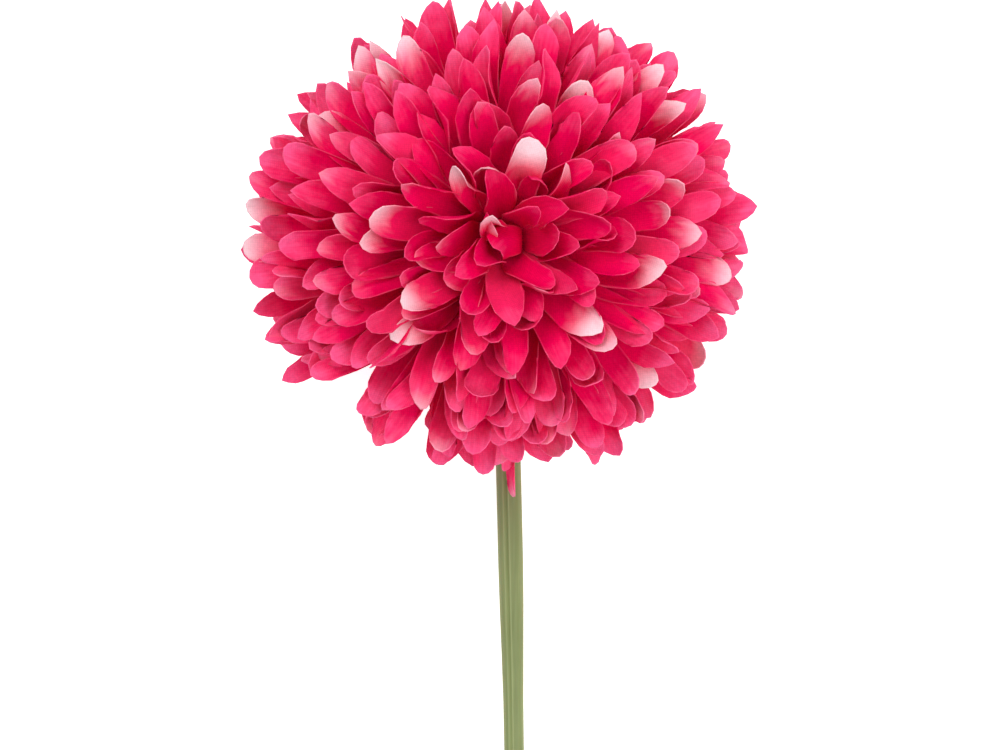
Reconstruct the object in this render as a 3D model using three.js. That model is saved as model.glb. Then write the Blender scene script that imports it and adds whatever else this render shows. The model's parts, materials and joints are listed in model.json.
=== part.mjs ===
// Artificial pompon chrysanthemum on a wired stem, lying on its back on a table.
// Millimetres, +Z up. The flower faces up, its neck is bent under it, and the stem runs along -Y.
// The head is a stack of stamped cloth layers threaded on a pin, lowest layer first.
import * as THREE from 'three';

// Head: the petal tips lie on half a sphere below and half an ellipsoid above the widest level.
const HEAD_RADIUS = 70.5;
const CROWN_HEIGHT = 51;
const OVAL = 0.075; // share by which the head is shallower along the stem than it is wide
const HEAD_LEVEL = 33; // the widest level above the table
const HEAD_LEAN_TO_STEM = 4.5; // degrees
const HEAD_LEAN_TO_SIDE = 3.5; // degrees

// Cloth layers: tiers of equal blanks, each tier parted from the next by a spacer.
const TIERS = [
  { layers: 5, petals: 16, hubRadius: 6.0 },
  { layers: 4, petals: 20, hubRadius: 6.0 },
  { layers: 4, petals: 20, hubRadius: 5.6 },
  { layers: 4, petals: 18, hubRadius: 5.2 },
  { layers: 3, petals: 15, hubRadius: 4.8 },
  { layers: 2, petals: 10, hubRadius: 4.4 },
  { layers: 2, petals: 8, hubRadius: 4.0 },
];
const BUD = [
  { petals: 7, hubRadius: 3.8, tipRadius: 11.5, tipLevel: 50.5, rise: 66, lip: 80 },
  { petals: 5, hubRadius: 3.5, tipRadius: 4.0, tipLevel: 50.0, rise: 64, lip: 114 },
];
const LOWEST_HUB = -4.0;
const CLOTH = 0.5; // stiffened cloth with its fold and glue
const HUB_PITCH = 0.9; // hub to hub inside a tier
const TIER_PITCH = 2.8; // hub to hub across a spacer
const CLEARANCE = 0.3;
const LOWEST_TIP_ANGLE = 119; // degrees from the crown
const TIP_ANGLE_STEP = 4.48;
const LOWEST_RISE = -5; // degrees at which the lowest layer leaves its hub
const RISE_STEP = 3.04;
const LOWEST_CURL = 8; // degrees by which a lip bends outward from the head's radius
const CURL_STEP = 0.75;
const CURVE_HANDLE = 0.35; // share of the chord
const LAYER_TURN = 0.382; // share of a petal's pitch between neighbouring layers

// Petal: half widths and cupping at the stations along its length.
const PETAL_HALF_WIDTH = 5.4;
const PETAL_STATIONS = [
  { along: 0.45, width: 0.8, cup: 0.6 },
  { along: 0.8, width: 1.0, cup: 1.2 },
];
const WIDEST_SHARE_OF_PITCH = 0.92;
const SWING_SCATTER = 1.6; // degrees
const TIP_SCATTER = 0.5; // degrees
const REACH_SCATTER = 0.05; // share by which a petal may fall short

// Where the skirt meets the table and the stem, and where it is parted.
const TABLE_GAP = 0.3;
const LIFT_PER_LAYER = 2.0;
const STEM_AZIMUTH = -88; // degrees
const STEM_LIFT = 7.9;
const LIFT_FLAT = 12; // degrees each side of the stem
const LIFT_END = 68;
const PARTING_AZIMUTH = -135; // degrees
const PARTING_PUSH = 12;
const PARTING_SPREAD = 16;
const PARTING_FROM = 45; // tip angle where the parting begins
const PARTING_FULL = 66;

// Pin, cap and calyx.
const PIN_RADIUS = 1.5;
const BORE_RADIUS = PIN_RADIUS + CLEARANCE;
const PIN_SOCKET_DEPTH = 4.5;
const SPACER_RADIUS = 3.2;
const CAP_RADIUS = 2.8;
const CAP_HEIGHT = 2.0;
const CALYX_RADIUS = 9.5;
const CALYX_SEAT_RADIUS = 5;
const CALYX_SHOULDER = 4;
const CALYX_NECK_RADIUS = 5.3;
const CALYX_BOTTOM = -18;
const STEM_SOCKET_DEPTH = 7.5;

// Stem: a plastic sheath moulded on a steel wire.
const STEM_END = new THREE.Vector3(6.5, -375, 0);
const STEM_SWAY = new THREE.Vector3(5.2, -100, 0);
const NECK_RADIUS = 3.74;
const STEM_RADIUS = 3.0;
const STEM_END_RADIUS = 2.85;
const NECK_TAPER_FROM = -88; // y where the thicker neck begins to narrow
const NECK_TAPER_TO = -140;
const BEND_RADIUS = 12;
const QUARTER_ARC_HANDLE = 0.5523; // cubic handle of a quarter circle
const WIRE_RADIUS = 1.25;
const WIRE_BORE_RADIUS = WIRE_RADIUS + 0.35;
const WIRE_RECESS = 0.6;
const SHEATH_RIBS = 8;
const RIB_DEPTH = 0.035; // share of the radius

const rad = THREE.MathUtils.degToRad;
const lerp = THREE.MathUtils.lerp;
const smoothstep = THREE.MathUtils.smoothstep;

const clothPink = [0xd8174f, 0xde1b55, 0xe2205b, 0xe0245f];
const sheathGreen = new THREE.MeshStandardMaterial({ color: 0x8f9967, roughness: 0.55, metalness: 0 });
const calyxGreen = new THREE.MeshStandardMaterial({ color: 0x7f8c56, roughness: 0.55, metalness: 0 });
const wireSteel = new THREE.MeshStandardMaterial({ color: 0x9a9a98, roughness: 0.35, metalness: 1 });
const pinPlastic = new THREE.MeshStandardMaterial({ color: 0x86925c, roughness: 0.5, metalness: 0 });

/** Repeatable scatter between -1 and 1 for one petal of one layer. */
function scatter(layer, petal, channel) {
  const wave = Math.sin(layer * 12.9898 + petal * 78.233 + channel * 37.719) * 43758.5453;
  return 2 * (wave - Math.floor(wave)) - 1;
}

/** Signed difference of two azimuths in degrees, between -180 and 180. */
function azimuthFrom(azimuth, origin) {
  return THREE.MathUtils.euclideanModulo(azimuth - origin + 180, 360) - 180;
}

function heading(degrees) {
  return new THREE.Vector2(Math.cos(rad(degrees)), Math.sin(rad(degrees)));
}

function closedMesh(name, geometry, material) {
  const mesh = new THREE.Mesh(geometry, material);
  mesh.name = name;
  return mesh;
}

const head = new THREE.Group();
head.rotation.set(rad(HEAD_LEAN_TO_STEM), rad(HEAD_LEAN_TO_SIDE), 0);
head.position.set(0, 0, HEAD_LEVEL);
head.updateMatrixWorld();
const headUpright = Math.cos(rad(HEAD_LEAN_TO_STEM)) * Math.cos(rad(HEAD_LEAN_TO_SIDE));

/** Height above the table of a point given in the head's own radius, azimuth and level. */
function heightOf(radius, azimuth, level) {
  const flat = heading(azimuth).multiplyScalar(radius);
  return head.localToWorld(new THREE.Vector3(flat.x, flat.y, level)).z;
}

/** How far the skirt is lifted where it lies over the stem. */
function stemLift(azimuth) {
  const away = Math.abs(azimuthFrom(azimuth, STEM_AZIMUTH));
  return STEM_LIFT * THREE.MathUtils.clamp((LIFT_END - away) / (LIFT_END - LIFT_FLAT), 0, 1);
}

/** Sideways push in degrees that opens the parting in the outer layers. */
function partingPush(azimuth, tipAngle) {
  const away = azimuthFrom(azimuth, PARTING_AZIMUTH);
  const side = away < 0 ? -1 : 1;
  const strength = smoothstep(tipAngle, PARTING_FROM, PARTING_FULL);
  return side * strength * PARTING_PUSH * Math.exp(-Math.abs(away) / PARTING_SPREAD);
}

/** Every cloth layer with its hub level and the angles of its petals. */
function listLayers() {
  const layers = [];
  let level = LOWEST_HUB;
  for (const tier of TIERS) {
    for (let step = 0; step < tier.layers; step += 1) {
      const index = layers.length;
      const tipAngle = LOWEST_TIP_ANGLE - TIP_ANGLE_STEP * index;
      layers.push({
        index,
        petals: tier.petals,
        hubRadius: tier.hubRadius,
        level,
        tipAngle,
        rise: LOWEST_RISE + RISE_STEP * index,
        lip: 90 - tipAngle - LOWEST_CURL - CURL_STEP * index,
        turn: (360 / tier.petals) * LAYER_TURN * index,
        topOfTier: step === tier.layers - 1,
      });
      level += step === tier.layers - 1 ? TIER_PITCH : HUB_PITCH;
    }
  }
  for (const ring of BUD) {
    layers.push({ ...ring, index: layers.length, level, turn: 0, topOfTier: false });
    level += HUB_PITCH;
  }
  return layers;
}

/** Where one petal's tip lies, as radius and level in the head. */
function petalTip(layer, petal, azimuth) {
  if (layer.tipRadius) return new THREE.Vector2(layer.tipRadius, layer.tipLevel);
  const angle = rad(layer.tipAngle + TIP_SCATTER * scatter(layer.index, petal, 1));
  const depth = layer.tipAngle > 90 ? HEAD_RADIUS : CROWN_HEIGHT;
  const widest = HEAD_RADIUS * (1 - OVAL * Math.abs(Math.sin(rad(azimuth))));
  const tip = new THREE.Vector2(widest * Math.sin(angle), depth * Math.cos(angle));
  const height = heightOf(tip.x, azimuth, tip.y);
  const rest = TABLE_GAP + LIFT_PER_LAYER * layer.index + stemLift(azimuth);
  const settled = layer.index === 0 ? rest : Math.max(height, rest);
  tip.y += (settled - height) / headUpright;
  return tip;
}

/** The curve that a petal follows from its hub to its tip, in radius and level. */
function petalCurve(layer, petal, azimuth) {
  const root = new THREE.Vector2(layer.hubRadius, layer.level);
  const tip = petalTip(layer, petal, azimuth);
  const handle = CURVE_HANDLE * root.distanceTo(tip);
  const leaving = root.clone().addScaledVector(heading(layer.rise), handle);
  const arriving = tip.clone().addScaledVector(heading(layer.lip), -handle);
  return new THREE.CubicBezierCurve(root, leaving, arriving, tip);
}

/** One stamped and heat-formed cloth layer: a pierced hub and its ring of petals. */
function clothLayer(layer) {
  const points = [];
  const faces = [];
  const pitch = 360 / layer.petals;
  const boreCorner = BORE_RADIUS / Math.cos(rad(pitch / 2));
  const stride = 6 + 4 * PETAL_STATIONS.length;
  const add = (radius, azimuth, level) => {
    const flat = heading(azimuth).multiplyScalar(radius);
    points.push(flat.x, flat.y, level);
  };
  for (let petal = 0; petal < layer.petals; petal += 1) {
    const azimuth = layer.turn + pitch * petal;
    const push = layer.tipRadius ? 0 : partingPush(azimuth, layer.tipAngle);
    const swing = push + SWING_SCATTER * scatter(layer.index, petal, 2);
    const reach = 1 - REACH_SCATTER * Math.abs(scatter(layer.index, petal, 3));
    const curve = petalCurve(layer, petal, azimuth + swing);
    add(boreCorner, azimuth, layer.level + CLOTH / 2);
    add(boreCorner, azimuth, layer.level - CLOTH / 2);
    add(layer.hubRadius, azimuth - pitch / 2, layer.level);
    add(layer.hubRadius, azimuth, layer.level + CLOTH / 2);
    add(layer.hubRadius, azimuth, layer.level - CLOTH / 2);
    for (const station of PETAL_STATIONS) {
      const along = station.along * reach;
      const middle = curve.getPoint(along);
      const slope = curve.getTangent(Math.min(along, 1));
      const up = new THREE.Vector2(-slope.y, slope.x);
      const bearing = azimuth + swing * station.along ** 2;
      const widest = WIDEST_SHARE_OF_PITCH * rad(pitch / 2) * middle.x;
      const half = Math.min(PETAL_HALF_WIDTH * station.width, widest);
      const edge = middle.clone().addScaledVector(up, station.cup);
      const edgeRadius = Math.hypot(edge.x, half);
      const edgeTurn = THREE.MathUtils.radToDeg(Math.atan2(half, edge.x));
      const face = middle.clone().addScaledVector(up, CLOTH / 2);
      const back = middle.clone().addScaledVector(up, -CLOTH / 2);
      add(edgeRadius, bearing - edgeTurn, edge.y);
      add(face.x, bearing, face.y);
      add(edgeRadius, bearing + edgeTurn, edge.y);
      add(back.x, bearing, back.y);
    }
    const tip = curve.getPoint(reach);
    add(tip.x, azimuth + swing, tip.y);

    const here = stride * petal;
    const next = stride * ((petal + 1) % layer.petals);
    const [boreTop, boreBottom, edgeLeft, rimTop, rimBottom] = [0, 1, 2, 3, 4].map((k) => here + k);
    const edgeRight = next + 2;
    faces.push(boreTop, edgeLeft, rimTop, boreTop, rimTop, edgeRight, boreTop, edgeRight, next);
    faces.push(boreBottom, rimBottom, edgeLeft, boreBottom, edgeRight, rimBottom);
    faces.push(boreBottom, next + 1, edgeRight);
    faces.push(boreTop, next, next + 1, boreTop, next + 1, boreBottom);
    let ring = [edgeLeft, rimTop, edgeRight, rimBottom];
    for (let station = 0; station < PETAL_STATIONS.length; station += 1) {
      const outer = [0, 1, 2, 3].map((k) => here + 5 + 4 * station + k);
      for (let k = 0; k < 4; k += 1) {
        const other = (k + 1) % 4;
        faces.push(ring[k], outer[k], outer[other], ring[k], outer[other], ring[other]);
      }
      ring = outer;
    }
    const tipPoint = here + stride - 1;
    for (let k = 0; k < 4; k += 1) faces.push(ring[k], tipPoint, ring[(k + 1) % 4]);
  }
  const geometry = new THREE.BufferGeometry();
  geometry.setAttribute('position', new THREE.Float32BufferAttribute(points, 3));
  geometry.setIndex(faces);
  return geometry;
}

/** A solid turned about the head's axis from [radius, level] pairs. */
function turned(profile, segments) {
  const points = profile.map(([radius, level]) => new THREE.Vector2(radius, level));
  const geometry = new THREE.LatheGeometry(points, segments);
  return geometry.rotateX(Math.PI / 2);
}

/** A flat washer threaded on the pin between two tiers. */
function spacer(lowerHub) {
  const bottom = lowerHub + CLOTH / 2 + CLEARANCE;
  const top = lowerHub + TIER_PITCH - CLOTH / 2 - CLEARANCE;
  const ring = [[BORE_RADIUS, bottom], [SPACER_RADIUS, bottom], [SPACER_RADIUS, top], [BORE_RADIUS, top]];
  return turned([...ring, ring[0]], 16);
}

/** Carries a flat section through the stations of a path as one closed solid. */
function carried(section, stations, curveSegments) {
  const settings = { depth: 1, steps: stations.length - 1, bevelEnabled: false, curveSegments };
  const geometry = new THREE.ExtrudeGeometry(section, settings);
  const position = geometry.getAttribute('position');
  for (let i = 0; i < position.count; i += 1) {
    const station = stations[Math.round(position.getZ(i) * (stations.length - 1))];
    const across = new THREE.Vector3(1, 0, 0);
    across.addScaledVector(station.tangent, -across.dot(station.tangent)).normalize();
    const over = new THREE.Vector3().crossVectors(station.tangent, across);
    const place = station.point.clone();
    place.addScaledVector(across, position.getX(i) * station.girth);
    place.addScaledVector(over, position.getY(i) * station.girth);
    position.setXYZ(i, place.x, place.y, place.z);
  }
  return geometry;
}

function sheathRadius(y) {
  const neck = 1 - smoothstep(-y, -NECK_TAPER_FROM, -NECK_TAPER_TO);
  const run = THREE.MathUtils.clamp(y / STEM_END.y, 0, 1);
  return lerp(lerp(STEM_RADIUS, STEM_END_RADIUS, run), NECK_RADIUS, neck);
}

/** The stem's middle line: down out of the calyx, round the neck and along the table. */
function stemPath() {
  const axis = head.localToWorld(new THREE.Vector3(0, 0, 1)).sub(head.position);
  const top = head.position.clone().addScaledVector(axis, CALYX_BOTTOM + STEM_SOCKET_DEPTH - CLEARANCE);
  const out = head.position.clone().addScaledVector(axis, CALYX_BOTTOM);
  const laid = new THREE.Vector3(out.x + 2, out.y - BEND_RADIUS, NECK_RADIUS);
  const end = STEM_END.clone().setZ(STEM_END_RADIUS);
  const sway = STEM_SWAY.clone().setZ(NECK_RADIUS);
  const handle = BEND_RADIUS * QUARTER_ARC_HANDLE;
  const leaving = out.clone().addScaledVector(axis, -handle);
  const arriving = laid.clone().addScaledVector(sway.clone().sub(laid).normalize(), -handle);
  return {
    socket: new THREE.LineCurve3(top, out),
    neck: new THREE.CubicBezierCurve3(out, leaving, arriving, laid),
    run: new THREE.QuadraticBezierCurve3(laid, sway, end),
  };
}

/** Stations along the stem, each laid so that the sheath rests on the table past the neck. */
function stemStations(endInset, radiusAt) {
  const path = stemPath();
  const stations = [];
  const add = (curve, from, to, steps) => {
    for (let k = stations.length ? 1 : 0; k <= steps; k += 1) {
      const t = lerp(from, to, k / steps);
      const point = curve.getPoint(t);
      if (curve === path.run) point.z = sheathRadius(point.y);
      stations.push({ point, tangent: curve.getTangent(t), girth: radiusAt(point.y) });
    }
  };
  add(path.socket, 0, 1, 1);
  add(path.neck, 0, 1, 9);
  add(path.run, 0, 1 - endInset, 16);
  return stations;
}

/** Ribbed outline of the sheath at a radius of 1, with the wire's bore left for its own pass. */
function sheathSection(bore) {
  const corners = [];
  for (let k = 0; k < 2 * SHEATH_RIBS; k += 1) {
    const radius = k % 2 ? 1 - RIB_DEPTH : 1;
    corners.push(heading((180 / SHEATH_RIBS) * k - 90).multiplyScalar(radius));
  }
  const section = new THREE.Shape(corners);
  section.holes.push(new THREE.Path().absarc(0, 0, bore, 0, 2 * Math.PI, true));
  return section;
}

const layers = listLayers();
const topHub = layers[layers.length - 1].level;
let spacerCount = 0;
for (const layer of layers) {
  const number = String(layer.index + 1).padStart(2, '0');
  const pink = clothPink[layer.index % clothPink.length];
  const cloth = new THREE.MeshStandardMaterial({ color: pink, roughness: 0.75, metalness: 0 });
  head.add(closedMesh(`petal_layer_${number}`, clothLayer(layer), cloth));
  if (layer.topOfTier) {
    spacerCount += 1;
    head.add(closedMesh(`tier_spacer_${spacerCount}`, spacer(layer.level), pinPlastic));
  }
}

const capBottom = topHub + CLOTH / 2 + CLEARANCE;
const calyxTop = LOWEST_HUB - CLOTH / 2 - CLEARANCE;
const pinBottom = calyxTop - PIN_SOCKET_DEPTH + CLEARANCE;
const pinTop = capBottom + CAP_HEIGHT / 2;
const pinProfile = [[0, pinBottom], [PIN_RADIUS, pinBottom], [PIN_RADIUS, pinTop], [0, pinTop]];
head.add(closedMesh('head_pin', turned(pinProfile, 12), pinPlastic));

const capProfile = [
  [0, capBottom + CAP_HEIGHT / 2 + CLEARANCE],
  [BORE_RADIUS, capBottom + CAP_HEIGHT / 2 + CLEARANCE],
  [BORE_RADIUS, capBottom],
  [CAP_RADIUS, capBottom],
  [CAP_RADIUS, capBottom + CAP_HEIGHT * 0.6],
  [CAP_RADIUS * 0.6, capBottom + CAP_HEIGHT],
  [0, capBottom + CAP_HEIGHT],
];
head.add(closedMesh('pin_cap', turned(capProfile, 16), pinPlastic));

const stemBore = NECK_RADIUS * (1 + RIB_DEPTH) + CLEARANCE;
const calyxProfile = [
  [0, CALYX_BOTTOM + STEM_SOCKET_DEPTH],
  [stemBore, CALYX_BOTTOM + STEM_SOCKET_DEPTH],
  [stemBore, CALYX_BOTTOM],
  [CALYX_NECK_RADIUS, CALYX_BOTTOM],
  [lerp(CALYX_NECK_RADIUS, CALYX_RADIUS, 0.6), lerp(CALYX_BOTTOM, calyxTop, 0.35)],
  [CALYX_RADIUS, calyxTop - CALYX_SHOULDER],
  [CALYX_SEAT_RADIUS, calyxTop],
  [BORE_RADIUS, calyxTop],
  [BORE_RADIUS, calyxTop - PIN_SOCKET_DEPTH],
  [0, calyxTop - PIN_SOCKET_DEPTH],
];
head.add(closedMesh('calyx_cup', turned(calyxProfile, 24), calyxGreen));

const flower = new THREE.Group();
flower.add(head);

const sheathBore = WIRE_BORE_RADIUS / STEM_END_RADIUS;
const sheath = carried(sheathSection(sheathBore), stemStations(0, sheathRadius), 5);
flower.add(closedMesh('stem_sheath', sheath, sheathGreen));

const wireSection = new THREE.Shape().absarc(0, 0, WIRE_RADIUS, 0, 2 * Math.PI, false);
const wireInset = WIRE_RECESS / -STEM_END.y;
const wire = carried(wireSection, stemStations(wireInset, () => 1), 4);
flower.add(closedMesh('stem_wire', wire, wireSteel));

// The origin is the middle of the footprint, on the table.
flower.updateMatrixWorld(true);
const extent = new THREE.Box3().setFromObject(flower, true);
const middle = extent.getCenter(new THREE.Vector3());
const placed = new THREE.Group();
flower.position.set(-middle.x, -middle.y, -extent.min.z);
placed.add(flower);
placed.updateMatrixWorld(true);

export default placed;
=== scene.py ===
"""Looks of an artificial pompon chrysanthemum on a wired stem, lying on its back on a table.

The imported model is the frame. Each cloth layer is cut flat as one blank, its petals are formed
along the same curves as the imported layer, and it replaces that layer. Lengths are in millimetres
until they reach a mesh, which is in metres, as the table, the lights and the camera are. Angles are
in degrees.
"""

import json
import math

import bmesh
import bpy
from mathutils import Matrix, Vector


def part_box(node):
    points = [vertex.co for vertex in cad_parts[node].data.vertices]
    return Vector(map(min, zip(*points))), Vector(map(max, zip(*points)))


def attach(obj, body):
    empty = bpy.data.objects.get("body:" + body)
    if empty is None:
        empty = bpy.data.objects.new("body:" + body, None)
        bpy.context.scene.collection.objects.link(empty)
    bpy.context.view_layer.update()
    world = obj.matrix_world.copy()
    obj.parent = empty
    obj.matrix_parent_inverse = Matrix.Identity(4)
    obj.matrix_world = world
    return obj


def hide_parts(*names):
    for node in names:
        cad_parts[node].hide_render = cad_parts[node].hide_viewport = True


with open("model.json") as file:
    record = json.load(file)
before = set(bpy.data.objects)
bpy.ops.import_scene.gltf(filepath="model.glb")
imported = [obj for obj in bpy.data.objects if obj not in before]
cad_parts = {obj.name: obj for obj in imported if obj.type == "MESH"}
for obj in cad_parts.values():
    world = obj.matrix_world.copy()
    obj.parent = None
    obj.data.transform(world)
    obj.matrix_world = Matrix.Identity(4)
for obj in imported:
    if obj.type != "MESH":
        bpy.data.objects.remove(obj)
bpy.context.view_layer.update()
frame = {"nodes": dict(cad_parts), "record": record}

MM = 0.001

# Head: petal tips lie on half a sphere below and half an ellipsoid above the widest level.
HEAD_RADIUS = 70.5
CROWN_HEIGHT = 51.0
OVAL = 0.075  # share by which the head is shallower along the stem than it is wide
TIERS = [  # cloth layers, petals in each, hub radius
    (5, 16, 6.0),
    (4, 20, 6.0),
    (4, 20, 5.6),
    (4, 18, 5.2),
    (3, 15, 4.8),
    (2, 10, 4.4),
    (2, 8, 4.0),
]
BUD = [  # the two innermost layers, whose petals are all given one by one
    dict(petals=7, hub=3.8, rise=66),
    dict(petals=5, hub=3.5, rise=64),
]
LOWEST_HUB = -4.0
HUB_PITCH = 0.9
TIER_PITCH = 2.8
BORE_RADIUS = 1.8
LOWEST_TIP_ANGLE = 119.0
TIP_ANGLE_STEP = 4.48
LOWEST_RISE = -5.0
RISE_STEP = 3.04
LOWEST_CURL = 8.0
CURL_STEP = 0.75
CURVE_HANDLE = 0.35
LAYER_TURN = 0.382

# Petals of the finished cloth.
FACE_FROM = 60.0  # tip angles between which the skirt passes into the face
FACE_FULL = 22.0
OUTER_HALF_WIDTH = 4.3
INNER_HALF_WIDTH = 5.0
WAIST = 0.62  # a petal's width at the hub, as a share of its full width
WIDENS_FROM = 0.1
WIDENS_TO = 0.72
ROOM_AT_HUB = 0.97  # share of the room between its neighbours that a petal may take
ROUND_TIP = 6.0  # length of the rounded end of a blunt petal and of a pointed one
POINTED_TIP = 12.0
LONGEST_TIP = 0.4  # share of a petal that its rounded end may take
POINTED = 0.32  # how pointed a petal is: 0 blunt, 1 pointed
FAR_POINTED = 0.36
ARCH_POWER = 0.75  # the end of a pointed petal is an arch, mixed with the round end of a blunt one
MOST_POINTED = 0.75
CURLED_LENGTH = 11.0  # the length next to the tip over which a petal curls
CURL = 12.0
CUP_BEND = (0.03, 0.125)  # radians in a millimetre across, near the hub and past the middle
CUP = (0.9, 2.1)
RUFFLE = (0.3, 1.0)
RUFFLE_WAVE = 0.42  # radians in a millimetre along an edge
FINE_RUFFLE_WAVE = 1.1
EDGE_WAVE = 1.3
EDGE_WAVER = 0.03  # share of the width by which an edge wavers
FOLD = 1.5
FACE_LIP = 14.0  # petals of the face end this much steeper
FACE_ROLL = 1.3  # and are rolled this many times as far
FAR_ROLL = 0.25  # petals of the far rim are rolled by this share more, and are a little wider
FAR_WIDTH = 0.06
PALE_UNROLL = 0.7  # share of its roll that a petal with a pale tip loses
MOST_ROLL = 76.0
CLOTH_THICKNESS = 0.26
ACROSS = 8  # columns of faces across a petal
ROW_ENDS = [0.2, 0.4, 0.57, 0.71, 0.82, 0.91, 0.99, 1.0]  # rows along it, closest at the tip
UV_SPAN = 200.0  # flat cloth across the UV square

# How far single petals stray. A stray amount is reached by few petals, a scatter by many.
TIP_SCATTER = 3.0
TIP_DRIFT = 2.0
SIDESTEP = 4.8
SIDE_DRIFT = 2.5
NARROWEST_RADIUS = 12.0  # closer to the middle a sidestep turns a petal no further
PROUD = 0.045
PARTING_DRAW = 0.07  # share by which petals beside the parting may fall short
SHORTFALL = 0.03
LIP_SCATTER = 14.0
LIP_STRAY = 18.0
ROLL_SCATTER = 16.0
ROLL_STRAY = 62.0
CURL_SCATTER = 26.0
CURL_STRAY = 62.0
SWEEP = 3.2
WIDTH_SCATTER = 0.15
POINTED_SCATTER = 0.4
SKEW = 0.35
PHASE = 3.0
CHANNELS = dict(
    tip=1, sidestep=2, shortfall=3, lip=4, roll_stray=8, roll=9, cup=10, ruffle=11, phase=12,
    width=13, pointed=14, dye_batch=15, layer_batch=16, dip=17, lean=18, lip_stray=19, proud=20,
    sweep=21, curl=22, skew=23, curl_stray=24, parting_draw=25, fold=26,
)

# Dye, painted shade and bleach of the cloth.
HUB_FROM_TIP = 60.0
FACE_DYE_AND_SHADE = 6.0  # the face is coloured as deep as if it were this much further from the tips: partly dye, partly painted shade deep in the head
BATCH_SHARES = (0.6, 0.4)  # of the dye batch: a petal's own and its layer's
STREAK_SHIFT = 7.3  # keeps one petal's streaks from running on in the next
FAINT_DIP = 0.3
DIP_LEAN = 0.5  # share of the half width by which a dip may be off the middle line
DIP_FLATNESS = 0.8
DIP_CORE = 1.5
DIP_EDGE = 1.0
DIP_REACH = 8.0
UPPER_PREFERENCE = 0.2  # how much a pale place prefers the uppermost of the petals near it

# Where the skirt meets the table and the stem, and where it is parted.
TABLE_GAP = 0.5
LIFT_PER_LAYER = 2.0
STEM_AZIMUTH = -88.0
STEM_LIFT = 7.9
LIFT_FLAT = 12.0
LIFT_END = 68.0
PARTING_AZIMUTH = -135.0
PARTING_PUSH = 12.0
PARTING_SPREAD = 16.0
PARTING_FROM = 45.0
PARTING_FULL = 66.0
NARROW_GAP = (-115.0, 5.0, 7.0)  # azimuth, push and spread of the gap beside the parting
STEM_SPREAD = 42.0
RETREAT = 14.0
RETREAT_LAYERS = (3.5, 8.0, 9.0, 17.0)  # layers where it begins, is full, starts to end, has ended
FLOOR = 0.2  # the lowest that cloth may lie, and how much higher each layer's floor is
FLOOR_PER_LAYER = 0.35
LAYERS_ON_STEM = 3
FLOOR_ON_STEM = 0.8

# Stem.
NECK_RADIUS = 3.74
STEM_RADIUS = 3.0
STEM_END_RADIUS = 2.85
NECK_TAPER_FROM = -88.0  # from the head's middle, along the stem
NECK_TAPER_TO = -140.0
HEAD_LEVEL = 33.0  # the head's middle above the table
CALYX_BOTTOM = -18.0
STEM_SOCKET = 7.2
BEND_RADIUS = 12.0
BEND_SIDESTEP = 2.0
QUARTER_ARC_HANDLE = 0.5523
STEM_END = Vector((6.5, -375.0, STEM_END_RADIUS))
STEM_SWAY = Vector((5.2, -100.0, NECK_RADIUS))
WIRE_BORE = 1.6
NECK_STEPS = 14
LAID_STEPS = 24
SHEATH_SIDES = 120
SHEATH_RIBS = [118, 95, 20, 160, 205, 270, 335]  # where the narrow ribs stand round the sheath
SHEATH_GROOVE = 106  # between the two ribs on top
RIB_SPREAD = 3.4
GROOVE_SPREAD = 5.0
RIB_FOOT = 0.96  # shares of the stem's radius
RIB_HEIGHT = 0.04
GROOVE_DEPTH = 0.035


# ---------------------------------------------------------------- small helpers


def scatter(layer, petal, channel):
    """Repeatable scatter between -1 and 1 for one petal of one layer, another in each channel."""
    wave = math.sin(layer * 12.9898 + petal * 78.233 + CHANNELS[channel] * 37.719) * 43758.5453
    return 2 * (wave - math.floor(wave)) - 1


def clamp(value, low=0.0, high=1.0):
    return max(low, min(high, value))


def lerp(a, b, share):
    return a + (b - a) * share


def smooth(value, low=0.0, high=1.0):
    share = clamp((value - low) / (high - low))
    return share * share * (3 - 2 * share)


def heading(degrees):
    return Vector((math.cos(math.radians(degrees)), math.sin(math.radians(degrees))))


def turned_from(azimuth, origin):
    """Signed difference of two azimuths in degrees."""
    return (azimuth - origin + 180) % 360 - 180


def middle(node):
    low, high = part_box(node)
    return (low + high) / 2


# ---------------------------------------------------------------- the head's own frame

lowest_spacer = middle("tier_spacer_1")
head_up = (middle("tier_spacer_7") - lowest_spacer).normalized()
LOWEST_SPACER_LEVEL = LOWEST_HUB + HUB_PITCH * (TIERS[0][0] - 1) + TIER_PITCH / 2
lean_side = math.asin(head_up.x)
lean_back = math.atan2(-head_up.y, head_up.z)
head_place = lowest_spacer - head_up * LOWEST_SPACER_LEVEL * MM
head_turn = Matrix.Rotation(lean_back, 4, "X") @ Matrix.Rotation(lean_side, 4, "Y")
head_matrix = Matrix.Translation(head_place) @ head_turn @ Matrix.Scale(MM, 4)


def height_of(radius, azimuth, level):
    """Height above the table, in millimetres, of a point of the head."""
    flat = heading(azimuth) * radius
    return (head_matrix @ Vector((flat.x, flat.y, level))).z / MM


def stem_lift(azimuth):
    away = abs(turned_from(azimuth, STEM_AZIMUTH))
    return STEM_LIFT * clamp((LIFT_END - away) / (LIFT_END - LIFT_FLAT))


def parting_push(azimuth, tip_angle):
    """How far the petals on each side of the parting, and of the narrow gap by it, are pushed."""
    strength = smooth(tip_angle, PARTING_FROM, PARTING_FULL)
    push = 0.0
    for place, most, spread in ((PARTING_AZIMUTH, PARTING_PUSH, PARTING_SPREAD), NARROW_GAP):
        away = turned_from(azimuth, place)
        side = -1 if away < 0 else 1
        push += side * strength * most * math.exp(-abs(away) / spread)
    return push


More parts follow.
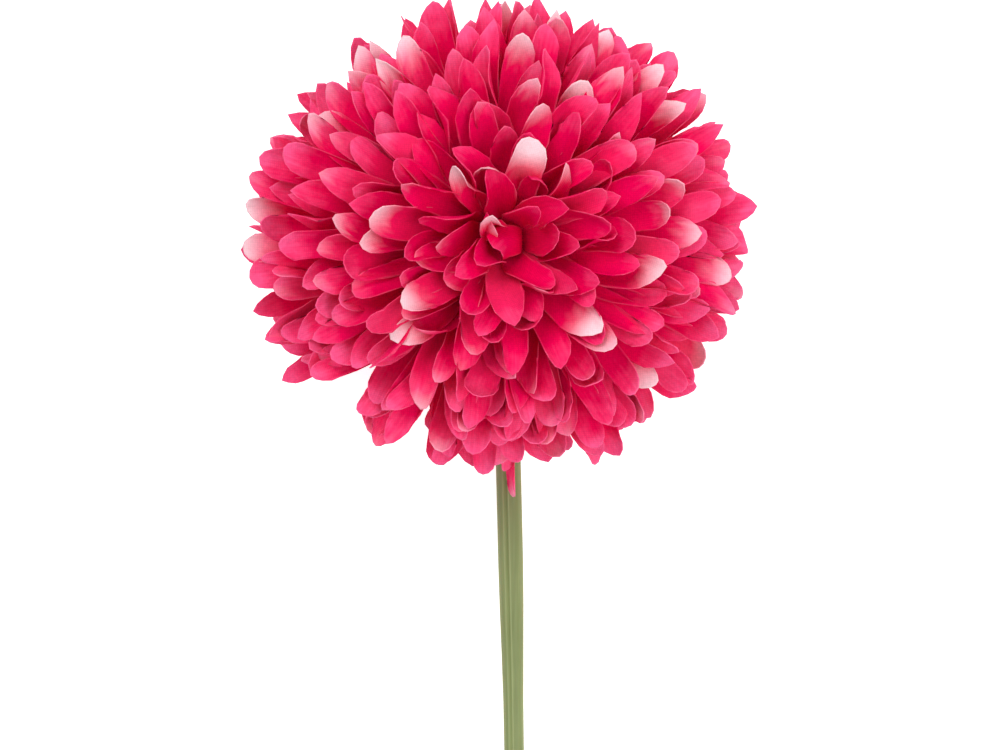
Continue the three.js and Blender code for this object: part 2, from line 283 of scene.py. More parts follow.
def list_layers():
    """Every cloth layer, lowest first, with its hub level and the angles of its petals."""
    layers = []
    level = LOWEST_HUB
    for count, petals, hub in TIERS:
        for step in range(count):
            index = len(layers)
            tip_angle = LOWEST_TIP_ANGLE - TIP_ANGLE_STEP * index
            layers.append(dict(
                index=index,
                petals=petals,
                hub=hub,
                level=level,
                tip_angle=tip_angle,
                rise=LOWEST_RISE + RISE_STEP * index,
                lip=90 - tip_angle - LOWEST_CURL - CURL_STEP * index,
                turn=360 / petals * LAYER_TURN * index,
                bud=False,
            ))
            level += TIER_PITCH if step == count - 1 else HUB_PITCH
    for ring in BUD:
        layers.append(dict(ring, index=len(layers), level=level, turn=0.0, tip_angle=0.0, bud=True))
        level += HUB_PITCH
    return layers


# ---------------------------------------------------------------- one petal's form


def slow_drift(azimuth, tip_angle, phase):
    """A slow wave over the head between -1 and 1, which moves neighbouring petals together."""
    a = math.radians(azimuth)
    t = math.radians(tip_angle)
    wave = math.sin(3 * a + 2.1 * t + phase) + math.sin(5 * a - 3.3 * t + 2.7 * phase)
    return 0.5 * (wave + 0.4 * math.sin(9 * a + 5.0 * t + 1.3 * phase)) / 1.2


def over_stem(azimuth):
    """1 over the stem, falling to 0 a third of the way round the head."""
    return math.exp(-(turned_from(azimuth, STEM_AZIMUTH) / STEM_SPREAD) ** 2)


def retreat(azimuth, k):
    """How far, in degrees, petals draw back over the stem so that those below hang clear."""
    begins, full, ends, ended = RETREAT_LAYERS
    return RETREAT * over_stem(azimuth) * smooth(k, begins, full) * (1 - smooth(k, ends, ended))


# Petals whose forms are given one by one, one over the stem, one beside the parting and the rest in the
# middle of the face: layer and petal, then the tip's distance from the middle, its level or lift,
# its turn at the hub, its sideways swing, how steeply it ends, its roll, its curl, how pale it is,
# how wide and how pointed.
HAND_BENT = {
    (0, 12): dict(radius=75, lift=4.4, turn=3.8, swing=0.5, lip=-4, roll=78, curl=0, pale=0.3,
                  width=0.75, pointed=0.0),
    (4, 8): dict(radius=72.5, level=-10, swing=0.5, lip=-16, roll=24, curl=-6, width=0.8),
    (20, 1): dict(radius=33.5, swing=2, lip=34, roll=4, curl=-10, pale=1.0, width=1.1),
    (21, 1): dict(radius=27, swing=9, lip=44, roll=14),
    (21, 2): dict(radius=30, curl=49),
    (22, 2): dict(radius=26, swing=-2, lip=40, roll=-20, curl=70, pale=0.6),
    (22, 5): dict(radius=24, swing=-4, lip=38, roll=10),
    (23, 0): dict(radius=23, swing=19, lip=72, roll=88, curl=0, pale=0.6, width=0.7),
    (23, 1): dict(radius=27.5, swing=-5, lip=36, roll=2, curl=-6, pale=1.25, width=1.25),
    (23, 2): dict(radius=22.5, swing=0, lip=72, roll=-72, pale=0.9, width=0.8),
    (24, 0): dict(radius=15, swing=6, lip=66, roll=-8, curl=30),
    (24, 1): dict(radius=18, swing=-19, lip=62, roll=-20),
    (24, 2): dict(radius=19, swing=2, lip=80, roll=24, curl=14),
    (24, 3): dict(radius=10, swing=-7, lip=84, roll=64, pale=0.4, width=0.8),
    (24, 4): dict(radius=17, swing=4, lip=30, roll=-14, curl=-21),
    (24, 5): dict(radius=22, swing=20, lip=24, roll=8, curl=-21, width=1.1),
    (24, 6): dict(radius=22, swing=16, lip=58, roll=-12, curl=24),
    (25, 0): dict(radius=-7.5, level=47, swing=38, lip=208, roll=0, curl=0, width=1.05),
    (25, 1): dict(radius=8.5, level=55, swing=-18, lip=96, roll=10, curl=-14),
    (25, 2): dict(radius=6.5, level=54, swing=-20, lip=92, roll=-52, pale=0.8, width=0.8),
    (25, 3): dict(radius=11, level=49, swing=-8, lip=34, roll=18, curl=-28),
    (25, 4): dict(radius=18, level=45, swing=26, lip=4, roll=-24, curl=-14),
}


def loose_end(layer, azimuth, depth_in, chance):
    """Sideways swing, end slope and tip of a petal whose form is not given one by one."""
    near_parting = math.exp(-abs(turned_from(azimuth, PARTING_AZIMUTH)) / PARTING_SPREAD)
    tip_angle = layer["tip_angle"] - retreat(azimuth, layer["index"]) + TIP_SCATTER * chance("tip")
    tip_angle += TIP_DRIFT * slow_drift(azimuth, layer["tip_angle"], 1.9)
    angle = math.radians(tip_angle)
    depth = HEAD_RADIUS if tip_angle > 90 else CROWN_HEIGHT
    sidestep = SIDESTEP * chance("sidestep") * (1 + near_parting)
    sidestep += SIDE_DRIFT * slow_drift(azimuth, layer["tip_angle"], 0.4)
    swing = math.degrees(sidestep / max(HEAD_RADIUS * math.sin(angle), NARROWEST_RADIUS))
    swing += parting_push(azimuth, layer["tip_angle"])
    proud = 1 + PROUD * chance("proud") - PARTING_DRAW * near_parting * abs(chance("parting_draw"))
    widest = HEAD_RADIUS * proud * (1 - OVAL * abs(math.sin(math.radians(azimuth + swing))))
    tip = Vector((widest * math.sin(angle), depth * proud * math.cos(angle)))
    lip = layer["lip"] + LIP_SCATTER * chance("lip") + LIP_STRAY * chance("lip_stray") ** 3
    return swing, lip + FACE_LIP * depth_in, tip


def petal_form(layer, petal, pale=0.0):
    """The curve, sidestep, cup, curl, fold and twist of one petal; a pale tip is turned to be seen."""
    k = layer["index"]
    bent = HAND_BENT.get((k, petal), {})

    def chance(channel):
        return scatter(k, petal, channel)

    azimuth = layer["turn"] + 360 / layer["petals"] * petal + bent.get("turn", 0)
    depth_in = smooth(layer["tip_angle"], FACE_FROM, FACE_FULL)  # 1 at the middle of the face
    far_side = math.sin(math.radians(azimuth)) * (1 - depth_in)
    if layer["bud"]:
        swing, lip, tip = bent["swing"], bent["lip"], bent_tip(bent)
    else:
        swing, lip, tip = loose_end(layer, azimuth, depth_in, chance)
        if bent:
            swing, lip, tip = bent.get("swing", swing), bent.get("lip", lip), bent_tip(bent)
        height = height_of(tip.x, azimuth + swing, tip.y)
        rest = TABLE_GAP + LIFT_PER_LAYER * k + stem_lift(azimuth + swing)
        settled = rest if k == 0 else max(height, rest)
        tip.y += (settled - height + bent.get("lift", 0.0)) / head_up.z
    root = Vector((layer["hub"], layer["level"]))
    handle = CURVE_HANDLE * (tip - root).length
    leaving = root + heading(layer["rise"]) * handle
    arriving = tip - heading(lip) * handle
    roll = ROLL_SCATTER * chance("roll") + ROLL_STRAY * chance("roll_stray") ** 3
    roll *= lerp(1.0, FACE_ROLL, depth_in) * (1 - PALE_UNROLL * pale)
    roll = clamp(roll * (1 + FAR_ROLL * clamp(far_side)), -MOST_ROLL, MOST_ROLL)
    curl = CURL + CURL_SCATTER * chance("curl") + CURL_STRAY * chance("curl_stray") ** 3
    width = 1 + WIDTH_SCATTER * chance("width") + FAR_WIDTH * clamp(far_side)
    pointed = bent.get("pointed", POINTED + FAR_POINTED * far_side)
    return dict(
        azimuth=azimuth,
        swing=swing,
        curve=(root, leaving, arriving, tip),
        reach=1 - SHORTFALL * abs(chance("shortfall")),
        sweep=0.0 if bent else SWEEP * chance("sweep"),
        twist=math.radians(bent.get("roll", roll)),
        cup=lerp(*CUP, 0.5 + 0.5 * chance("cup")),
        curl=bent.get("curl", curl),
        ruffle=lerp(*RUFFLE, abs(chance("ruffle"))),
        fold=FOLD * clamp(chance("fold")),
        phase=PHASE * chance("phase"),
        half_width=lerp(OUTER_HALF_WIDTH, INNER_HALF_WIDTH, depth_in) * bent.get("width", width),
        pointed=clamp(pointed + POINTED_SCATTER * chance("pointed")),
        depth_in=depth_in,
        skew=SKEW * chance("skew"),
    )


def bent_tip(bent):
    """Where the tip of a petal given one by one is: on the dome over its radius, unless its level is
    given.
    """
    share = clamp(1 - (bent["radius"] / HEAD_RADIUS) ** 2)
    return Vector((bent["radius"], bent.get("level", CROWN_HEIGHT * math.sqrt(share))))


def on_curve(curve, t):
    """Point and unit tangent of a cubic curve at t."""
    a, b, c, d = curve
    u = 1 - t
    point = a * u ** 3 + b * (3 * u * u * t) + c * (3 * u * t * t) + d * t ** 3
    slope = (b - a) * (u * u) + (c - b) * (2 * u * t) + (d - c) * (t * t)
    return point, slope.normalized()


def arc_table(curve, steps=24):
    """Arc lengths at even steps of t along a cubic curve."""
    lengths = [0.0]
    before = curve[0]
    for k in range(1, steps + 1):
        here = on_curve(curve, k / steps)[0]
        lengths.append(lengths[-1] + (here - before).length)
        before = here
    return lengths


def t_at_length(lengths, wanted):
    steps = len(lengths) - 1
    for k in range(steps):
        if lengths[k + 1] >= wanted:
            span = lengths[k + 1] - lengths[k]
            return (k + (wanted - lengths[k]) / span) / steps
    return 1.0


def tip_outline(across, pointed):
    """How far the rounded end reaches at a place across it: 1 on the middle line, 0 at its edges."""
    circle = math.sqrt(max(0.0, 1 - across * across))
    arch = (1 - abs(across)) ** ARCH_POWER
    return lerp(circle, arch, MOST_POINTED * pointed)


# ---------------------------------------------------------------- bleached tips

# Petals whose tips kept little dye: bearing round the head, distance from its middle, strength.
PALE_TIPS = [
    (226, 45, 1.0),
    (212, 39, 0.9), (237, 49, 0.5), (313, 63, 1.0), (339, 48, 0.9),
    (350, 61, 0.8), (2, 57, 0.7), (11, 54, 0.6), (4, 47, 0.5), (329, 68, 0.7),
    (48, 67, 1.0), (32, 62, 1.0), (31, 69, 0.5), (59, 67, 1.0), (69, 63, 0.6),
    (74, 64, 1.0), (89, 65, 0.9), (89, 58, 0.9), (83, 57, 0.5), (87, 48, 0.6),
    (58, 48, 1.0), (75, 41, 0.7), (54, 52, 0.7), (56, 54, 0.6), (128, 55, 1.0),
    (130, 59, 0.7), (118, 56, 0.9), (120, 65, 0.9), (127, 63, 0.9), (171, 69, 1.0),
    (184, 69, 0.9), (168, 33, 0.8), (186, 35, 0.7), (178, 46, 0.6), (147, 61, 0.8),
    (150, 60, 0.6), (256, 65, 0.5), (310, 51, 0.7),
    (33, 44, 0.5),
]


def pale_petals(layers):
    """How strongly each chosen petal's tip is bleached: the petal nearest to each pale place."""
    tips = []
    for layer in layers:
        for petal in range(layer["petals"]):
            form = petal_form(layer, petal)
            tip = form["curve"][3]
            place = heading(form["azimuth"] + form["swing"]) * tip.x
            seen = head_matrix @ Vector((place.x, place.y, tip.y))
            flat = Vector((seen.x - head_place.x, seen.y - head_place.y)) / MM
            tips.append((flat, tip.y, (layer["index"], petal)))
    chosen = {place: bent.get("pale", 0.0) for place, bent in HAND_BENT.items()}
    for bearing, distance, strength in PALE_TIPS:
        wanted = heading(bearing) * distance
        free = [t for t in tips if t[2] not in chosen]
        nearest = min(free, key=lambda t: (t[0] - wanted).length - UPPER_PREFERENCE * t[1])
        chosen[nearest[2]] = strength
    return chosen


# ---------------------------------------------------------------- cutting and forming a layer


def cut_blank(layer):
    """A flat pierced hub with strips for petals, each vertex knowing its petal, column and row."""
    bm = bmesh.new()
    petal_of = bm.verts.layers.int.new("petal")
    column_of = bm.verts.layers.int.new("column")
    row_of = bm.verts.layers.int.new("row")
    segments = layer["petals"] * ACROSS
    bmesh.ops.create_circle(bm, segments=segments, radius=BORE_RADIUS)
    rim = bmesh.ops.create_circle(bm, segments=segments, radius=layer["hub"])["verts"]
    rim_edges = [e for e in bm.edges if all(v in set(rim) for v in e.verts)]
    bmesh.ops.bridge_loops(bm, edges=bm.edges[:])
    turn = Matrix.Rotation(math.radians(layer["turn"] + 180 / layer["petals"] - 90), 3, "Z")
    bmesh.ops.rotate(bm, verts=bm.verts[:], cent=(0, 0, 0), matrix=turn)
    pitch = 360 / layer["petals"]
    start = layer["turn"] - pitch / 2

    def step_round(edge):
        spot = (edge.verts[0].co + edge.verts[1].co) / 2
        around = (math.degrees(math.atan2(spot.y, spot.x)) - start) % 360
        return int(around / pitch)

    grouped = [[] for _ in range(layer["petals"])]
    for edge in rim_edges:
        grouped[step_round(edge) % layer["petals"]].append(edge)
    for v in bm.verts:
        v[petal_of] = -1
    outer = []
    for petal, edges in enumerate(grouped):
        made = bmesh.ops.extrude_edge_only(bm, edges=edges)["geom"]
        for v in (g for g in made if isinstance(g, bmesh.types.BMVert)):
            around = (math.degrees(math.atan2(v.co.y, v.co.x)) - start - petal * pitch + 90) % 360 - 90
            v[petal_of] = petal
            v[column_of] = round(around / pitch * ACROSS)
            v[row_of] = 1
        outer += edges_between_new(made)
    for row in range(2, len(ROW_ENDS) + 1):
        made = bmesh.ops.extrude_edge_only(bm, edges=outer)["geom"]
        for v in (g for g in made if isinstance(g, bmesh.types.BMVert)):
            v[row_of] = row
        outer = edges_between_new(made)
    return bm


def edges_between_new(made):
    new = {g for g in made if isinstance(g, bmesh.types.BMVert)}
    return [g for g in made if isinstance(g, bmesh.types.BMEdge) and set(g.verts) <= new]


def curled(point, slope, past, curl):
    """The point and tangent at a distance past the place where the tip begins to curl."""
    bend = math.radians(curl) / CURLED_LENGTH
    if abs(bend * past) < 1e-6:
        return point + slope * past, slope
    angle = bend * past
    inward = Vector((-slope.y, slope.x))
    place = point + slope * (math.sin(angle) / bend) + inward * ((1 - math.cos(angle)) / bend)
    return place, slope * math.cos(angle) + inward * math.sin(angle)


def edge_beat(form, along, across):
    """The ruffle's rise and fall along a petal; its two edges beat apart."""
    beat = math.sin(RUFFLE_WAVE * along + form["phase"] + (1.7 if across > 0 else 0.0))
    fine = math.sin(FINE_RUFFLE_WAVE * along - 2 * form["phase"] + (2.6 if across > 0 else 0.0))
    return beat + 0.5 * fine


def petal_point(form, hub, across, share, pitch_half):
    """A place on a petal: formed in the head's frame, flat on the blank, and where it is on it."""
    length = form["lengths"][-1] * form["reach"]
    side = length - min(lerp(ROUND_TIP, POINTED_TIP, form["pointed"]), LONGEST_TIP * length)
    along = share * (side + (length - side) * tip_outline(across, form["pointed"]))
    across += form["skew"] * (1 - across * across) * smooth(share, 0.6, 1.0)
    full = lerp(WAIST, 1.0, smooth(share * side / length, WIDENS_FROM, WIDENS_TO))
    full *= form["half_width"] * (1 + EDGE_WAVER * math.sin(EDGE_WAVE * along + form["phase"]))
    half = min(full, math.tan(pitch_half) * (hub + share * side) * ROOM_AT_HUB)

    # along the curve, and past it where the tip curls
    straight = min(along, length - CURLED_LENGTH)
    point, slope = on_curve(form["curve"], t_at_length(form["lengths"], straight))
    point, slope = curled(point, slope, along - straight, form["curl"])

    # cupped, ruffled and folded across
    reach = along / length
    bend = form["cup"] * lerp(*CUP_BEND, smooth(reach, 0.15, 0.75))
    angle = across * half * bend
    sideways = math.sin(angle) / bend
    raised = (1 - math.cos(angle)) / bend
    raised += form["ruffle"] * across ** 2 * edge_beat(form, along, across) * reach ** 2
    raised += form["fold"] * abs(across) * smooth(reach, 0.2, 0.6) * (1 - smooth(reach, 0.8, 1.0))

    # rolled about its middle line and swept aside
    twist = form["twist"] * smooth(reach, 0.3, 1.0)
    turned_side = sideways * math.cos(twist) - raised * math.sin(twist)
    turned_up = sideways * math.sin(twist) + raised * math.cos(twist)
    turned_side += form["sweep"] * reach ** 4
    bearing = math.radians(form["azimuth"] + form["swing"] * reach ** 2)
    out = Vector((math.cos(bearing), math.sin(bearing), 0))
    aside = Vector((-out.y, out.x, 0))
    normal = out * -slope.y + Vector((0, 0, slope.x))
    formed = out * point.x + Vector((0, 0, point.y)) + aside * turned_side + normal * turned_up

    flat_out = heading(form["azimuth"])
    flat_aside = Vector((-flat_out.y, flat_out.x))
    flat = flat_out * (hub + along) + flat_aside * across * half
    return formed, flat, along, length - along, across * half


def bleached(form, dip, lean, short_of_tip, offset):
    """How far a dip of this strength has bleached a place near the tip."""
    from_spot = math.hypot(short_of_tip, DIP_FLATNESS * (offset - lean * form["half_width"]))
    return dip * (1 - smooth(from_spot, DIP_CORE * dip, DIP_EDGE + DIP_REACH * dip))


def map_cloth(bm, flat_place, lengthwise):
    """The UVs: where each corner lies on the flat blank, and how far along its own petal."""
    flat_map = bm.loops.layers.uv.new("flat_cloth")
    petal_map = bm.loops.layers.uv.new("petal_length")
    for face in bm.faces:
        face.smooth = True
        for loop in face.loops:
            spot = flat_place[loop.vert]
            across, along = lengthwise[loop.vert]
            loop[flat_map].uv = (0.5 + spot.x / UV_SPAN, 0.5 + spot.y / UV_SPAN)
            loop[petal_map].uv = (across / UV_SPAN, along / UV_SPAN)


def flat_measure(bm, flat_place):
    """Width, length and area of the flat blank, in metres."""
    area = 0.0
    for face in bm.faces:
        spots = [flat_place[v] for v in face.verts]
        area += abs(sum(a.cross(b) for a, b in zip(spots, spots[1:] + spots[:1]))) / 2
    xs = [spot.x for spot in flat_place.values()]
    ys = [spot.y for spot in flat_place.values()]
    return ((max(xs) - min(xs)) * MM, (max(ys) - min(ys)) * MM), area * MM * MM


def form_layer(layer, pale):
    """One cloth layer, cut flat, formed, mapped to its flat cloth, and given its thickness."""
    bm = cut_blank(layer)
    petal_of = bm.verts.layers.int["petal"]
    column_of = bm.verts.layers.int["column"]
    row_of = bm.verts.layers.int["row"]
    cut_edge = bm.verts.layers.float.new("cut_edge")
    from_tip = bm.verts.layers.float.new("from_tip")
    bleach = bm.verts.layers.float.new("bleach")
    dye_batch = bm.verts.layers.float.new("dye_batch")
    k = layer["index"]
    forms = [petal_form(layer, petal, pale.get((k, petal), 0.0)) for petal in range(layer["petals"])]
    for form in forms:
        form["lengths"] = arc_table(form["curve"])
    flat_place = {}
    lengthwise = {}
    for v in bm.verts:
        petal = v[petal_of]
        if petal < 0:
            flat_place[v] = Vector((v.co.x, v.co.y))
            lengthwise[v] = (0.0, 0.0)
            v[from_tip] = HUB_FROM_TIP
            v.co = head_matrix @ Vector((v.co.x, v.co.y, layer["level"]))
            continue
        form = forms[petal]
        across = math.sin(math.pi * (v[column_of] / ACROSS - 0.5))
        share = ROW_ENDS[v[row_of] - 1]
        formed, flat_place[v], along, short_of_tip, offset = petal_point(
            form, layer["hub"], across, share, math.pi / layer["petals"])
        lengthwise[v] = (STREAK_SHIFT * petal + offset, along)
        v[cut_edge] = 1.0 if abs(across) > 0.99 or share > 0.999 else 0.0
        # painted shade: the face and the petals' roots are coloured darker, partly for dye and partly
        # for the shade deep in the head
        v[from_tip] = short_of_tip + FACE_DYE_AND_SHADE * form["depth_in"]
        own, shared = BATCH_SHARES
        v[dye_batch] = own * scatter(k, petal, "dye_batch") + shared * scatter(k, 0, "layer_batch")
        dip = pale.get((k, petal), clamp(FAINT_DIP * scatter(k, petal, "dip")))
        v[bleach] = bleached(form, dip, DIP_LEAN * scatter(k, petal, "lean"), short_of_tip, offset)
        placed = head_matrix @ formed
        placed.z = max(placed.z, height_floor(k, form) * MM)
        v.co = placed
    map_cloth(bm, flat_place, lengthwise)
    size, area = flat_measure(bm, flat_place)
    thicken(bm)
    return bm, size, area


def thicken(bm):
    """Doubles the cloth into two skins, the second let down along each vertex's own normal."""
    bmesh.ops.recalc_face_normals(bm, faces=bm.faces[:])
    bm.normal_update()
    facing = bm.verts.layers.float_vector.new("facing")
    for v in bm.verts:
        v[facing] = v.normal
    made = bmesh.ops.extrude_face_region(bm, geom=bm.faces[:], use_keep_orig=True)["geom"]
    for v in (g for g in made if isinstance(g, bmesh.types.BMVert)):
        v.co -= v[facing] * CLOTH_THICKNESS * MM
    bm.verts.layers.float_vector.remove(facing)
    bmesh.ops.recalc_face_normals(bm, faces=bm.faces[:])


def height_floor(k, form):
    """The lowest a petal may lie: on the table, or on the stem where it crosses it."""
    floor = FLOOR + FLOOR_PER_LAYER * k
    if k < LAYERS_ON_STEM:
        floor += FLOOR_ON_STEM * stem_lift(form["azimuth"] + form["swing"])
    return floor


def piece_from(bm, name, *materials):
    mesh = bpy.data.meshes.new(name)
    bm.to_mesh(mesh)
    bm.free()
    for material in materials:
        mesh.materials.append(material)
    made = bpy.data.objects.new(name, mesh)
    bpy.context.scene.collection.objects.link(made)
    return made


# ---------------------------------------------------------------- materials

# Real sizes of what the finishes show, in millimetres.
DYE_BLOTCH = 7.7  # where the dye took unevenly
STREAK_WIDTH = 0.9  # bundles of threads that took the dye alike
STREAK_LENGTH = 11.4
DYE_AND_SHADE_DEPTH = 30.0  # from a tip to where the dye and the painted shade are fully deep
DRAWN_THREAD = 0.5  # real threads lie 0.12 apart and would be lost, so they are drawn coarser
SLUB = 0.9
DIE_LINE = 1.1  # lines that the die leaves along the sheath
DIE_LINE_LENGTH = 37.0
RESIN_CLOUD = 22.0
MOULD_CLOUD = 8.3
MOULD_GRAIN = 0.4
WIRE_SCRATCH = 0.33


def linear(colour):
    """A #rrggbb colour as the linear RGBA that shaders take."""
    channels = [int(colour[k:k + 2], 16) / 255 for k in (1, 3, 5)]
    return tuple(c / 12.92 if c <= 0.04045 else ((c + 0.055) / 1.055) ** 2.4 for c in channels) + (1,)


def add(tree, kind, inputs=None, stops=(), **settings):
    """Adds a shader node and gives the node.

    Each input is a value, or the node or socket that feeds it. Stops are a ramp's places and colours.
    """
    made = tree.nodes.new("ShaderNode" + kind)
    for name, value in settings.items():
        setattr(made, name, value)
    for k, (place, colour) in enumerate(stops):
        elements = made.color_ramp.elements
        element = elements[k] if k < 2 else elements.new(place)
        element.position = place
        element.color = linear(colour)
    for name, value in (inputs or {}).items():
        if isinstance(value, bpy.types.Node):
            value = next(socket for socket in value.outputs if socket.enabled)
        if isinstance(value, bpy.types.NodeSocket):
            tree.links.new(value, made.inputs[name])
        else:
            made.inputs[name].default_value = value
    return made


def new_material(name):
    material = bpy.data.materials.new(name)
    material.use_nodes = True
    material.node_tree.nodes.clear()
    return material, material.node_tree


def dyed_polyester_taffeta():
    """Plain-weave polyester taffeta, dip-dyed and heat formed.

    It gives the eye a soft, nearly matt cloth: crimson deep in the head and pinker at the tips, partly
    dye and partly painted shade, with streaks along each petal, a fine weave, and thin paler edges,
    partly frayed thread and partly a painted highlight where the cut edges catch the light.
    """
    material, tree = new_material("dyed_polyester_taffeta")
    from_tip = add(tree, "Attribute", attribute_name="from_tip").outputs["Fac"]
    bleach = add(tree, "Attribute", attribute_name="bleach").outputs["Fac"]
    batch = add(tree, "Attribute", attribute_name="dye_batch").outputs["Fac"]
    cut_edge = add(tree, "Attribute", attribute_name="cut_edge").outputs["Fac"]
    cloth = add(tree, "UVMap", uv_map="flat_cloth")
    lengthwise = add(tree, "UVMap", uv_map="petal_length")

    # the dye is deepest near the hub and lets up towards the tips, unevenly; the darker hub end and face
    # are partly painted shade, where the head is deep
    blotches = add(tree, "TexNoise", {"Vector": cloth, "Scale": UV_SPAN / DYE_BLOTCH, "Detail": 3.0})
    drawn_out = add(tree, "Mapping", {
        "Vector": lengthwise,
        "Scale": (1.0, STREAK_WIDTH / STREAK_LENGTH, 1.0),
    })
    streaks = add(tree, "TexNoise", {
        "Vector": drawn_out,
        "Scale": UV_SPAN / STREAK_WIDTH,
        "Detail": 2.0,
    })
    depth = add(tree, "MapRange", {"Value": from_tip, "From Max": DYE_AND_SHADE_DEPTH})
    blotched = add(tree, "Math", {0: blotches, 1: 0.6, 2: -0.42}, operation="MULTIPLY_ADD")
    uneven = add(tree, "Math", {0: streaks, 1: 0.24, 2: blotched}, operation="MULTIPLY_ADD")
    dye_and_shade_depth = add(tree, "Math", {0: depth, 1: uneven}, operation="ADD", use_clamp=True)
    # painted shade: the deeper stops stand partly for the shade near the hub and in the face
    dye_and_shade = add(tree, "ValToRGB", {"Fac": dye_and_shade_depth}, stops=[
        (0.0, "#fb5a90"),
        (0.17, "#f43870"),
        (0.35, "#ea0055"),
        (0.75, "#e0004a"),
        (1.0, "#ca0039"),
    ])
    lighter = add(tree, "Math", {0: batch, 1: 0.24, 2: -0.04}, operation="MULTIPLY_ADD", use_clamp=True)
    batches = add(tree, "Mix", {0: lighter, 6: dye_and_shade, 7: linear("#fa6c94")}, data_type="RGBA")
    pale = add(tree, "Mix", {0: bleach, 6: batches, 7: linear("#fddae2")}, data_type="RGBA")

    # the cut edge is paler here and there: partly frayed undyed thread, partly a painted highlight where
    # the thin edge catches the light
    fray_and_highlight_patches = add(tree, "MapRange", {"Value": streaks, "From Min": 0.4, "From Max": 0.7, "To Max": 0.38})
    fray_and_edge_highlight = add(tree, "Math", {0: cut_edge, 1: fray_and_highlight_patches}, operation="MULTIPLY")
    frayed_and_edge_lit = add(tree, "Mix", {0: fray_and_edge_highlight, 6: pale, 7: linear("#ff86a6")}, data_type="RGBA")

    # a band of the wave texture repeats every twentieth of a turn at scale 1
    scale = 2 * math.pi / 20 * UV_SPAN / DRAWN_THREAD
    warp = add(tree, "TexWave", {"Vector": cloth, "Scale": scale}, bands_direction="X")
    weft = add(tree, "TexWave", {"Vector": cloth, "Scale": scale}, bands_direction="Y")
    weave = add(tree, "Math", {0: warp.outputs["Fac"], 1: weft.outputs["Fac"]}, operation="MULTIPLY")
    # thicker and thinner threads mottle it
    slubs = add(tree, "TexNoise", {"Vector": cloth, "Scale": UV_SPAN / SLUB, "Detail": 1.0})
    mottled = add(tree, "Math", {0: slubs, 1: 0.26, 2: 0.8}, operation="MULTIPLY_ADD")
    shade = add(tree, "Math", {0: weave, 1: 0.15, 2: mottled}, operation="MULTIPLY_ADD")
    woven = add(tree, "VectorMath", {0: frayed_and_edge_lit, 1: shade}, operation="MULTIPLY")
    bump = add(tree, "Bump", {"Height": weave, "Strength": 0.3, "Distance": 0.1 * MM})
    cloth_shader = add(tree, "BsdfPrincipled", {
        "Base Color": woven,
        "Roughness": 0.58,
        "IOR": 1.57,
        "Specular IOR Level": 0.03,
        "Sheen Weight": 0.02,
        "Sheen Roughness": 0.4,
        "Sheen Tint": linear("#ff7a9c"),
        "Normal": bump,
    })
    add(tree, "OutputMaterial", {"Surface": cloth_shader})
    return material


def extruded_polyethylene():
    """Olive polyethylene extruded over the wire.

    It gives the eye a satin, slightly waxy green with faint lengthwise die lines and paler ribs.
    """
    material, tree = new_material("extruded_polyethylene")
    place = add(tree, "TexCoord").outputs["Object"]
    drawn_out = add(tree, "Mapping", {"Vector": place, "Scale": (1.0, DIE_LINE / DIE_LINE_LENGTH, 1.0)})
    lines = add(tree, "TexNoise", {"Vector": drawn_out, "Scale": 1 / (DIE_LINE * MM), "Detail": 2.0})
    clouds = add(tree, "TexNoise", {"Vector": place, "Scale": 1 / (RESIN_CLOUD * MM), "Detail": 3.0})
    tone = add(tree, "Mix", {0: 0.4, 2: lines, 3: clouds})
    green = add(tree, "ValToRGB", {"Fac": tone}, stops=[
        (0.3, "#6d7844"),
        (0.5, "#7c8752"),
        (0.72, "#8b955f"),
    ])
    # the die drags the ribs, so their crests come out paler
    rib = add(tree, "Attribute", attribute_name="rib").outputs["Fac"]
    paler = add(tree, "Math", {0: rib, 1: 0.6}, operation="MULTIPLY", use_clamp=True)
    colour = add(tree, "Mix", {0: paler, 6: green, 7: linear("#a3ac78")}, data_type="RGBA")
    bump = add(tree, "Bump", {"Height": lines, "Strength": 0.3, "Distance": 0.1 * MM})
    shader = add(tree, "BsdfPrincipled", {
        "Base Color": colour,
        "Roughness": 0.5,
        "IOR": 1.5,
        "Specular IOR Level": 0.4,
        "Subsurface Weight": 0.05,
        "Normal": bump,
    })
    add(tree, "OutputMaterial", {"Surface": shader})
    return material


def moulded_polyethylene(name, dark, light):
    """Injection-moulded polyethylene: satin, slightly cloudy, with the grain of its mould."""
    material, tree = new_material(name)
    place = add(tree, "TexCoord").outputs["Object"]
    clouds = add(tree, "TexNoise", {"Vector": place, "Scale": 1 / (MOULD_CLOUD * MM), "Detail": 4.0})
    colour = add(tree, "ValToRGB", {"Fac": clouds}, stops=[(0.3, dark), (0.7, light)])
    grain = add(tree, "TexNoise", {"Vector": place, "Scale": 1 / (MOULD_GRAIN * MM)})
    bump = add(tree, "Bump", {"Height": grain, "Strength": 0.15, "Distance": 0.05 * MM})
    shader = add(tree, "BsdfPrincipled", {
        "Base Color": colour,
        "Roughness": 0.48,
        "IOR": 1.5,
        "Normal": bump,
    })
    add(tree, "OutputMaterial", {"Surface": shader})
    return material


def drawn_steel_wire():
    """Drawn steel wire, cut by pliers: bright, with fine scratches that break up its shine."""
    material, tree = new_material("drawn_steel_wire")
    place = add(tree, "TexCoord").outputs["Object"]
    scratches = add(tree, "TexNoise", {"Vector": place, "Scale": 1 / (WIRE_SCRATCH * MM), "Detail": 3.0})
    rough = add(tree, "MapRange", {"Value": scratches, "To Min": 0.25, "To Max": 0.45})
    shader = add(tree, "BsdfPrincipled", {
        "Base Color": linear("#b9b7b2"),
        "Metallic": 1.0,
        "Roughness": rough,
    })
    add(tree, "OutputMaterial", {"Surface": shader})
    return material


